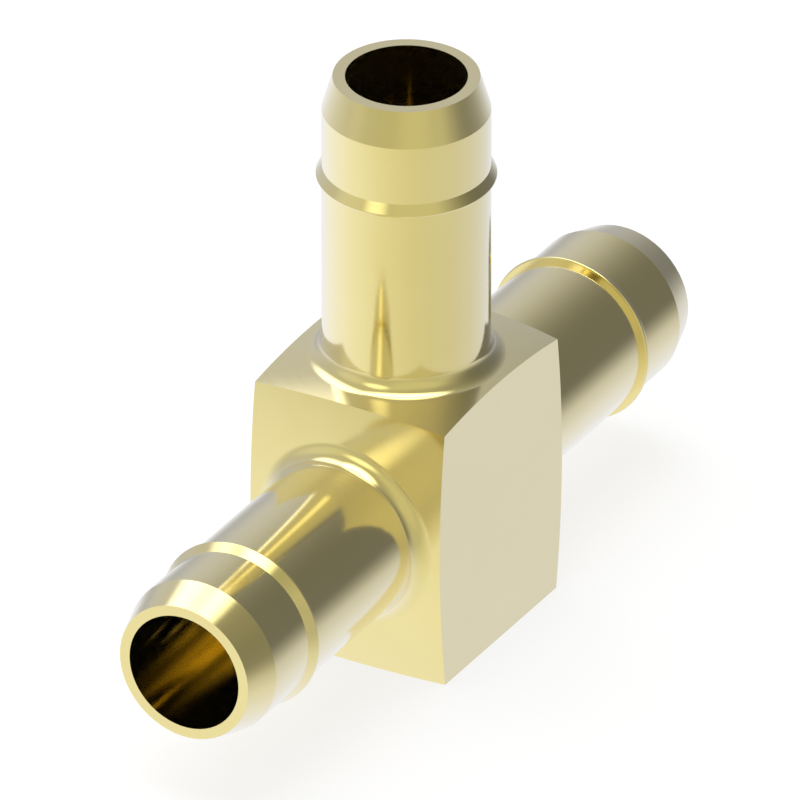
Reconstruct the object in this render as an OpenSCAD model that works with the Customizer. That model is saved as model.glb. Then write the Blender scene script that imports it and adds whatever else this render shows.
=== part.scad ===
// Brass hose barb tee: a forged block with three turned legs, each with a tapered nose and one barb.
// The run lies along Y, the branch stands up along Z, and the origin is where the leg axes cross.

/* [Legs] */
// Outside diameter of each leg, for a 3/8 in hose
leg_d = 9.525; // [8.8:0.025:10.5]
// Length of the run from tip to tip
run_len = 49.4; // [44:0.1:60]
// Height of the branch tip above the run axis
branch_len = 26.15; // [23:0.05:32]

/* [Nose] */
// Diameter of the flat ring at each tip
nose_d = 8.3; // [7.6:0.05:8.7]
// Length of the tapered nose
nose_len = 2.05; // [0.5:0.05:4]

/* [Barb] */
// Diameter over the crest of the barb
barb_d = 10.2; // [10:0.05:11.5]
// Distance from the tip back to the shoulder of the barb
barb_pos = 6.3; // [5:0.05:8]
// Length of the barb from the foot of its ramp to its shoulder
barb_len = 0.7; // [0.5:0.05:2]
// Rounding of the crest
crest_r = 0.1; // [0.05:0.01:0.15]

/* [Block] */
// Width across the two flat sides
body_w = 12.3; // [11.5:0.05:14]
// Depth of the flat base below the run axis
base_depth = 8.4; // [7:0.05:10]
// Distance from the run's middle to the crown of each run port face
run_face = 7.2; // [6.8:0.05:8.5]
// Radius of the convex run port faces
run_face_r = 57; // [40:1:100]
// Height of the crown of the branch port face above the run axis
branch_face = 8.7; // [8:0.05:10]
// Radius of the convex branch port face
branch_face_r = 42; // [35:1:100]
// Fillet between each leg and its port face
root_r = 1.05; // [0.3:0.05:1.3]

/* [Bores] */
// Diameter of the bore through the run
run_bore_d = 7.05; // [6:0.05:7.3]
// Diameter of the bore down the branch
branch_bore_d = 6.9; // [5.5:0.05:7]

/* [Hidden] */
$fn = 128;
// Facets of the large arcs that form the port faces
face_fn = 720;
// Metal left on the blank all round for the turning cuts
stock = 0.6;
// How far a cut runs past the metal it removes
past = 1;
// How far a smooth blend sinks into what it meets
blend = 0.0001;

leg_r = leg_d / 2;
rod_r = barb_d / 2 + stock;
block_top = branch_face + stock;
block_y = run_face + stock;
run_sweep_r = norm([body_w / 2, max(base_depth, block_top)]) + past;
branch_sweep_r = norm([body_w / 2, block_y]) + past;

// Where a line from point s touches the circle of radius r about c, on the side away from the axis
function tangent_point(s, c, r) =
    let (v = s - c, a = atan2(v[1], v[0]) - acos(r / norm(v)))
    c + r * [cos(a), sin(a)];

// Half outline of the barb: a ramp that rises from the nose side to a rounded crest and a square shoulder
module barb_outline(len) {
    shoulder = len - barb_pos;
    ramp_foot = [leg_r, shoulder + barb_len];
    crest = [barb_d / 2 - crest_r, shoulder + crest_r];
    polygon([
        [0, shoulder],
        [crest[0], shoulder],
        crest,
        tangent_point(ramp_foot, crest, crest_r - blend),
        ramp_foot,
        [0, ramp_foot[1]]
    ]);
    translate(crest) circle(r = crest_r);
}

// Half outline of a leg with its tapered nose
module leg_outline(len) {
    polygon([[0, 0], [leg_r, 0], [leg_r, len - nose_len], [nose_d / 2, len], [nose_d / 2, len + 2 * past],
        [0, len + 2 * past]]);
}

// Half outline of the fillet between a leg and a port face with its crown at face
module root_outline(face, face_r) {
    fillet_x = leg_r + root_r;
    fillet_y = face - face_r + sqrt(pow(face_r + root_r, 2) - pow(fillet_x, 2)) - blend;
    foot_x = fillet_x * face_r / (face_r + root_r);
    difference() {
        square([foot_x, fillet_y]);
        translate([fillet_x, fillet_y]) circle(r = root_r);
    }
}

// Half outline of all the metal that the lathe leaves at one port
module port_outline(len, face, face_r) {
    leg_outline(len);
    barb_outline(len);
    root_outline(face, face_r);
    translate([0, face - face_r]) circle(r = face_r, $fn = face_fn);
}

// The metal that the lathe removes at one port, about the Z axis
module turning_cut(len, face, face_r, sweep_r) {
    rotate_extrude()
        difference() {
            square([sweep_r, len + past]);
            port_outline(len, face, face_r);
        }
}

// Points the Z axis of its children along the run, once to each side
module at_run_ports() {
    for (turn = [90, -90])
        rotate([turn, 0, 0]) children();
}

// Plain rod that a leg is turned from, standing on its port face
module leg_rod(len, face) {
    translate([0, 0, face]) cylinder(r = rod_r, h = len - face);
}

// Forged blank: a block with flat sides and base, and a rod for each leg
module blank() {
    translate([-body_w / 2, -block_y, -base_depth]) cube([body_w, 2 * block_y, base_depth + block_top]);
    at_run_ports() leg_rod(run_len / 2, run_face);
    leg_rod(branch_len, branch_face);
}

module bores() {
    rotate([90, 0, 0]) cylinder(d = run_bore_d, h = run_len + 2 * past, center = true);
    cylinder(d = branch_bore_d, h = branch_len + past);
}

module barb_tee() {
    color([0.86, 0.78, 0.5])
        difference() {
            blank();
            at_run_ports() turning_cut(run_len / 2, run_face, run_face_r, run_sweep_r);
            turning_cut(branch_len, branch_face, branch_face_r, branch_sweep_r);
            bores();
        }
}

barb_tee();
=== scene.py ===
"""Looks of the brass hose barb tee: polished brass in a pale studio, seen from the photograph's angle."""

import math

import bmesh
import bpy
import numpy as np
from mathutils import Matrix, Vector


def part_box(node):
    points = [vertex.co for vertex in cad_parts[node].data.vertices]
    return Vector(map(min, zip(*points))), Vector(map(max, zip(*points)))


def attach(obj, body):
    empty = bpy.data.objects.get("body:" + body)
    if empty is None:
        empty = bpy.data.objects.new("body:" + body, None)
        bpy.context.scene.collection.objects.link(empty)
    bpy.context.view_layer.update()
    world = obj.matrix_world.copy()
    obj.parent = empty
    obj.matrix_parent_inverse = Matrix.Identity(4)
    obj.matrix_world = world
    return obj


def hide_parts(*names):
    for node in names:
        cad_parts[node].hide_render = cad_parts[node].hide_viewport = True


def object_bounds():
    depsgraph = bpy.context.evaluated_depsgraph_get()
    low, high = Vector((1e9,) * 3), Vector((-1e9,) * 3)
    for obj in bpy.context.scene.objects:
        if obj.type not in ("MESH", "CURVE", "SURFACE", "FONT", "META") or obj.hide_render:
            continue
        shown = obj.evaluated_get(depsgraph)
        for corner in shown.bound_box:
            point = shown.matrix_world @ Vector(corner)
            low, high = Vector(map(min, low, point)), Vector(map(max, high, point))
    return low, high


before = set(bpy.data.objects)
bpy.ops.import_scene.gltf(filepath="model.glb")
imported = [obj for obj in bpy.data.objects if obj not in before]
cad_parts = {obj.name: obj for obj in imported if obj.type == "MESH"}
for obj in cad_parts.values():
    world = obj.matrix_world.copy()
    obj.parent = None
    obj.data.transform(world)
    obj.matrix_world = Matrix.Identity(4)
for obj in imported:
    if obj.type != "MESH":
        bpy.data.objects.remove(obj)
CAD_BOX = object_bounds()

MM = 0.001

# The photograph's view. It shows no perspective, so a long lens stands far away.
CAMERA_AZIMUTH = math.radians(30.16)
CAMERA_ELEVATION = math.radians(30.08)
CAMERA_DISTANCE = 2001.5 * MM
# Where the camera aims, to the right of and above the tee's origin in the view
AIM_RIGHT = -0.36 * MM
AIM_UP = 4.49 * MM
LENS_MM = 1600
SENSOR_MM = 36
# How many times nearer and farther than the aim the camera still sees
CLIP_REACH = 10

# The tee's own sizes, as its source has them, in millimetres
LEG_D = 9.525
NOSE_D = 8.3
NOSE_LEN = 2.05
BARB_D = 10.2
BARB_POS = 6.3
BARB_LEN = 0.7
CREST_R = 0.1
ROOT_R = 1.05
RUN_FACE = 7.2
RUN_FACE_R = 57
BRANCH_FACE = 8.7
BRANCH_FACE_R = 42
RUN_BORE_D = 7.05
BRANCH_BORE_D = 6.9

# How far a corner of a face may be off the surface that it belongs to, in millimetres
SURFACE_OFF = 0.01
# What a face that is square to a surface counts for, next to that distance
SQUARE_OFF = 0.1
# Which stretch of a half outline is the bore
BORE_PLACE = 0
# Corners closer than this are one, in millimetres
WELD = 0.001

# Brass, as linear colour: seen square on, the same where a little warmer, and what it fades to when grazed
BRASS = (0.888, 0.755, 0.266)
BRASS_WARM = (0.876, 0.737, 0.25)
BRASS_EDGE = (0.958, 0.953, 0.945)
EDGE_POWER = 1.34
# Roughness where the polish is best and worst, and of the reamed bores
POLISH = (0.105, 0.135)
BORE_ROUGHNESS = 0.1
# Spacing of the faint lines of the lathe, of the dull spots on forged faces and of the warmer patches
TURNING_PITCH = 0.3 * MM
FORGED_SPOT = 0.8 * MM
WARM_PATCH = 5 * MM
# Levels of the noise between which the finish goes from best to worst, and the brass from plain to warm
FINISH_NOISE = (0.3, 0.7)
WARM_NOISE = (0.35, 0.65)
# Height of the lathe's lines and of the forged faces' waves
LINE_HEIGHT = 0.0006 * MM

# Soft patches of the studio: azimuth, elevation, core and reach in degrees, and the light that each adds
WALL_PATCHES = {
    "right": (139, 26, 19, 37, 0.08),
    "front_left": (-135, 19, 0, 28, 0.15),
}
FLOOR_PATCHES = {
    "left": (-104, 64, 0, 180, 0.63),
}
SOFT_BOXES = {
    "overhead": (0, 90, 8, 27, 2.75),
    "back_left": (-68, 54, 4, 27, 1.62),
    "front": (-168, 36, 2, 18, 0.86),
}
# The same, with the share of the walls' light that each takes away
WALL_SHADES = {
    "dark_side": (36, 13, 7, 71, 0.69),
    "low_back": (-37, -38, 6, 55, 0.34),
    "upper_right": (113, 64, 4, 37, 0.21),
}
# Brightness of the walls where no patch or shade reaches
WALL_LEVEL = 0.583
# Brightness of the floor by the sine of the elevation, and the sines between which it meets the walls
FLOOR_LEVELS = {-1.0: 0.934, -0.6: 0.79, -0.2: 0.466}
SKIRTING = (-0.416, -0.011)

FLOOR_SIZE = 3.0
# The floor's own light, and how much of the studio's it scatters: white together, and less in shadow
FLOOR_GLOW = 0.75
FLOOR_SCATTER = 0.3
# What the floor keeps below the base, so that the two never share a plane
FLOOR_GAP = 0.02 * MM
# How many mirror bounces light is followed for down the bores
BORE_BOUNCES = 5


def camera_axes():
    """Unit vectors to the right of, above and back from the photograph's view."""
    right = Vector((math.cos(CAMERA_AZIMUTH), math.sin(CAMERA_AZIMUTH), 0))
    level = Vector((right.y, -right.x, 0))
    back = level * math.cos(CAMERA_ELEVATION) + Vector((0, 0, math.sin(CAMERA_ELEVATION)))
    return right, back.cross(right), back


def make_camera():
    """The camera at the photograph's angle, framed as the photograph frames the tee."""
    right, up, back = camera_axes()
    data = bpy.data.cameras.new("camera")
    data.lens = LENS_MM
    data.sensor_width = SENSOR_MM
    camera = bpy.data.objects.new("camera", data)
    bpy.context.scene.collection.objects.link(camera)
    camera.rotation_mode = "QUATERNION"
    camera.rotation_quaternion = (-back).to_track_quat("-Z", "Y")
    camera.location = right * AIM_RIGHT + up * AIM_UP + back * CAMERA_DISTANCE
    data.clip_start = CAMERA_DISTANCE / CLIP_REACH
    data.clip_end = CAMERA_DISTANCE * CLIP_REACH
    bpy.context.scene.camera = camera


def heading(azimuth, elevation):
    """Unit vector at an azimuth from +Y towards +X and an elevation above the horizon, in degrees."""
    a, e = math.radians(azimuth), math.radians(elevation)
    return Vector((math.sin(a) * math.cos(e), math.cos(a) * math.cos(e), math.sin(e)))


class Nodes:
    """Short ways to add and join the nodes of one shader tree."""

    def __init__(self, tree):
        self.tree = tree
        tree.nodes.clear()

    def add(self, kind, inputs=None, **settings):
        node = self.tree.nodes.new(kind)
        for name, value in settings.items():
            setattr(node, name, value)
        for key, value in (inputs or {}).items():
            if isinstance(value, bpy.types.NodeSocket):
                self.tree.links.new(value, node.inputs[key])
            else:
                node.inputs[key].default_value = value
        return node

    def math(self, operation, a, b=0.0):
        return self.add("ShaderNodeMath", {0: a, 1: b}, operation=operation).outputs[0]

    def mix(self, share, a, b, kind="FLOAT"):
        """a where share is 0 and b where it is 1: numbers or, where kind is RGBA, colours."""
        node = self.add("ShaderNodeMix", {"Factor": share}, data_type=kind)
        for name, value in (("A", a), ("B", b)):
            socket = next(s for s in node.inputs if s.name == name and s.enabled)
            if isinstance(value, bpy.types.NodeSocket):
                self.tree.links.new(value, socket)
            else:
                socket.default_value = value
        return next(s for s in node.outputs if s.enabled)

    def between(self, value, low, high, interpolation="SMOOTHSTEP"):
        """0 where value is low and 1 where it is high."""
        node = self.add(
            "ShaderNodeMapRange",
            {"Value": value, "From Min": low, "From Max": high},
            interpolation_type=interpolation,
        )
        return node.outputs["Result"]


def soft_patch(nodes, direction, azimuth, elevation, core, reach):
    """1 within core degrees of a heading, easing to 0 at reach degrees from it."""
    dot = nodes.add(
        "ShaderNodeVectorMath", {0: direction, 1: heading(azimuth, elevation)}, operation="DOT_PRODUCT"
    ).outputs["Value"]
    return nodes.between(dot, math.cos(math.radians(reach)), math.cos(math.radians(core)))


def studio_ramp(nodes, height, levels):
    """Brightness that follows the sine of the elevation through the given levels."""
    share = nodes.between(height, -1, 1, interpolation="LINEAR")
    ramp = nodes.add("ShaderNodeValToRGB", {0: share})
    stops = ramp.color_ramp.elements
    while len(stops) < len(levels):
        stops.new(0.5)
    for stop, (sine, level) in zip(stops, levels.items()):
        stop.position = (sine + 1) / 2
        stop.color = (level, level, level, 1)
    return ramp.outputs["Color"]


def make_studio():
    """World light: pale walls and floor, soft boxes, one dark side, and plain white behind the tee."""
    world = bpy.data.worlds.new("studio")
    world.use_nodes = True
    bpy.context.scene.world = world
    nodes = Nodes(world.node_tree)
    direction = nodes.add("ShaderNodeTexCoord").outputs["Generated"]
    height = nodes.add("ShaderNodeSeparateXYZ", {0: direction}).outputs["Z"]

    def added(level, patches):
        for *place, strength in patches.values():
            patch = soft_patch(nodes, direction, *place)
            level = nodes.math("ADD", level, nodes.math("MULTIPLY", patch, strength))
        return level

    wall = added(WALL_LEVEL, WALL_PATCHES)
    for *place, taken in WALL_SHADES.values():
        patch = soft_patch(nodes, direction, *place)
        wall = nodes.math("MULTIPLY", wall, nodes.math("SUBTRACT", 1.0, nodes.math("MULTIPLY", patch, taken)))
    floor = added(studio_ramp(nodes, height, FLOOR_LEVELS), FLOOR_PATCHES)
    level = added(nodes.mix(nodes.between(height, *SKIRTING), floor, wall), SOFT_BOXES)
    light = nodes.add("ShaderNodeBackground", {"Color": (1, 1, 1, 1), "Strength": level})
    white = nodes.add("ShaderNodeBackground", {"Color": (1, 1, 1, 1), "Strength": 1.0})
    seen = nodes.add("ShaderNodeLightPath").outputs["Is Camera Ray"]
    mix = nodes.add("ShaderNodeMixShader", {0: seen, 1: light.outputs[0], 2: white.outputs[0]})
    nodes.add("ShaderNodeOutputWorld", {"Surface": mix.outputs[0]})


def make_floor(level):
    """A plain white floor at a height, which keeps a soft shadow and is clear from below."""
    half = FLOOR_SIZE / 2
    mesh = bpy.data.meshes.new("floor")
    corners = [(-half, -half, level), (half, -half, level), (half, half, level), (-half, half, level)]
    mesh.from_pydata(corners, [], [(0, 1, 2, 3)])
    floor = bpy.data.objects.new("floor", mesh)
    bpy.context.scene.collection.objects.link(floor)
    material = bpy.data.materials.new("floor_white")
    material.use_nodes = True
    nodes = Nodes(material.node_tree)
    diffuse = nodes.add("ShaderNodeBsdfDiffuse", {"Color": (FLOOR_SCATTER, FLOOR_SCATTER, FLOOR_SCATTER, 1)})
    glow = nodes.add("ShaderNodeEmission", {"Color": (1, 1, 1, 1), "Strength": FLOOR_GLOW})
    both = nodes.add("ShaderNodeAddShader", {0: diffuse.outputs[0], 1: glow.outputs[0]})
    clear = nodes.add("ShaderNodeBsdfTransparent")
    below = nodes.add("ShaderNodeNewGeometry").outputs["Backfacing"]
    surface = nodes.add("ShaderNodeMixShader", {0: below, 1: both.outputs[0], 2: clear.outputs[0]})
    nodes.add("ShaderNodeOutputMaterial", {"Surface": surface.outputs[0]})
    mesh.materials.append(material)
    floor.visible_glossy = False


def lathe_path(nodes):
    """A place's way along its port's half outline, as its height less its radius, and the place itself."""
    place = nodes.add("ShaderNodeTexCoord").outputs["Object"]
    x, y, z = nodes.add("ShaderNodeSeparateXYZ", {0: place}).outputs
    branch = nodes.add("ShaderNodeAttribute", attribute_name="on_branch").outputs["Fac"]

    def path(height, a, b):
        squares = nodes.math("ADD", nodes.math("MULTIPLY", a, a), nodes.math("MULTIPLY", b, b))
        return nodes.math("SUBTRACT", height, nodes.math("SQRT", squares))

    return nodes.mix(branch, path(nodes.math("ABSOLUTE", y), x, z), path(z, x, y)), place


def make_brass():
    """Polished brass that fades to pale at grazing angles, with faint lathe lines where it was turned."""
    material = bpy.data.materials.new("polished_brass")
    material.use_nodes = True
    nodes = Nodes(material.node_tree)
    path, place = lathe_path(nodes)
    turned = nodes.add("ShaderNodeAttribute", attribute_name="turned").outputs["Fac"]
    lines = nodes.add("ShaderNodeTexNoise", {"W": path, "Scale": 1 / TURNING_PITCH}, noise_dimensions="1D")
    spots = nodes.add("ShaderNodeTexNoise", {"Vector": place, "Scale": 1 / FORGED_SPOT})
    finish = nodes.mix(turned, spots.outputs[0], lines.outputs[0])
    warmth = nodes.add("ShaderNodeTexNoise", {"Vector": place, "Scale": 1 / WARM_PATCH}).outputs[0]
    bored = nodes.add("ShaderNodeAttribute", attribute_name="bored").outputs["Fac"]
    roughness = nodes.mix(bored, nodes.mix(nodes.between(finish, *FINISH_NOISE), *POLISH), BORE_ROUGHNESS)
    facing = nodes.add("ShaderNodeLayerWeight", {"Blend": 0.5}).outputs["Facing"]
    face_on = nodes.mix(nodes.between(warmth, *WARM_NOISE), (*BRASS, 1), (*BRASS_WARM, 1), "RGBA")
    colour = nodes.mix(nodes.math("POWER", facing, EDGE_POWER), face_on, (*BRASS_EDGE, 1), "RGBA")
    bump = nodes.add("ShaderNodeBump", {"Height": finish, "Strength": 1.0, "Distance": LINE_HEIGHT})
    metal = nodes.add(
        "ShaderNodeBsdfPrincipled",
        {
            "Base Color": colour,
            "Metallic": 1.0,
            "Roughness": roughness,
            "Normal": bump.outputs[0],
        },
    )
    nodes.add("ShaderNodeOutputMaterial", {"Surface": metal.outputs[0]})
    return material


def straight(radius, height, out_r, out_h):
    """A straight stretch of a half outline, which tells how far off it places are and its normal there."""
    out = np.array((out_r, out_h)) / math.hypot(out_r, out_h)

    def measure(places):
        return np.abs((places - (radius, height)) @ out), np.broadcast_to(out, places.shape)

    return measure


def curved(radius, height, bend, side=1):
    """The same for a round stretch about a centre, with the metal outside it where side is -1."""

    def measure(places):
        away = places - (radius, height)
        far = np.linalg.norm(away, axis=1)
        return np.abs(far - bend), side * away / far[:, None]

    return measure


def half_outline(length, face, face_r, bore_d):
    """The stretches that the lathe leaves at one port, from the bore round the tip to the port's face."""
    leg_r = LEG_D / 2
    shoulder = length - BARB_POS
    crest = (BARB_D / 2 - CREST_R, shoulder + CREST_R)
    ramp_foot = (leg_r, shoulder + BARB_LEN)
    across, along = ramp_foot[0] - crest[0], ramp_foot[1] - crest[1]
    ramp_out = math.atan2(along, across) - math.acos(CREST_R / math.hypot(across, along))
    fillet_r = leg_r + ROOT_R
    fillet_h = face - face_r + math.sqrt((face_r + ROOT_R) ** 2 - fillet_r**2)
    return (
        straight(bore_d / 2, 0, -1, 0),
        straight(0, length, 0, 1),
        straight(leg_r, length - NOSE_LEN, NOSE_LEN, leg_r - NOSE_D / 2),
        straight(leg_r, 0, 1, 0),
        straight(*ramp_foot, math.cos(ramp_out), math.sin(ramp_out)),
        curved(*crest, CREST_R),
        straight(0, shoulder, 0, -1),
        curved(fillet_r, fillet_h, ROOT_R, side=-1),
        curved(0, face - face_r, face_r),
    )


def read(items, name, width=1):
    """One property of all the parts of a mesh, as an array."""
    values = np.empty(len(items) * width, np.float32 if width > 1 else np.int32)
    items.foreach_get(name, values)
    return values.reshape(-1, width) if width > 1 else values


def finish_surfaces(mesh):
    """Gives each corner its surface's exact normal, and marks the faces that were turned or bored."""
    faces = mesh.polygons
    face_of = np.repeat(np.arange(len(faces)), read(faces, "loop_total"))
    flat = read(faces, "normal", 3)[face_of]
    corners = read(mesh.vertices, "co", 3)[read(mesh.loops, "vertex_index")] / MM
    starts = read(faces, "loop_start")
    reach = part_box("barb_tee")[1] / MM
    run = half_outline(reach.y, RUN_FACE, RUN_FACE_R, RUN_BORE_D)
    branch = half_outline(reach.z, BRANCH_FACE, BRANCH_FACE_R, BRANCH_BORE_D)
    normals = flat.copy()
    nearest = np.full(len(faces), SURFACE_OFF)
    marks = {"turned": np.zeros(len(faces)), "bored": np.zeros(len(faces)), "on_branch": np.zeros(len(faces))}
    for axis, outline in (((0, -1, 0), run), ((0, 1, 0), run), ((0, 0, 1), branch)):
        height = corners @ axis
        spoke = corners - np.outer(height, axis)
        radius = np.linalg.norm(spoke, axis=1)
        spoke /= radius[:, None]
        for place, stretch in enumerate(outline):
            off, out = stretch(np.column_stack((radius, height)))
            normal = out[:, :1] * spoke + np.outer(out[:, 1], axis)
            off = off + SQUARE_OFF * (1 - (normal * flat).sum(axis=1))
            worst = np.maximum.reduceat(off, starts)
            closer = worst < nearest
            nearest[closer] = worst[closer]
            marks["turned"][closer] = 1
            marks["bored"][closer] = place == BORE_PLACE
            marks["on_branch"][closer] = axis[2]
            normals[closer[face_of]] = normal[closer[face_of]]
    mesh.shade_smooth()
    mesh.normals_split_custom_set(normals)
    for name, values in marks.items():
        mesh.attributes.new(name, "FLOAT", "FACE").data.foreach_set("value", values)


def make_tee(cad, material):
    """The tee's metal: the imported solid's surface, welded, with exact normals and its finish marked."""
    build = bmesh.new()
    build.from_mesh(cad.data)
    bmesh.ops.remove_doubles(build, verts=build.verts, dist=WELD * MM)
    mesh = bpy.data.meshes.new("tee_metal")
    build.to_mesh(mesh)
    build.free()
    mesh.materials.clear()
    mesh.materials.append(material)
    finish_surfaces(mesh)
    metal = bpy.data.objects.new("tee_metal", mesh)
    bpy.context.scene.collection.objects.link(metal)
    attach(metal, "root")
    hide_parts("barb_tee")


make_camera()
make_studio()
make_floor(CAD_BOX[0].z - FLOOR_GAP)
make_tee(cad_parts["barb_tee"], make_brass())
bpy.context.scene.cycles.glossy_bounces = BORE_BOUNCES
bpy.context.scene.view_settings.view_transform = "Standard"
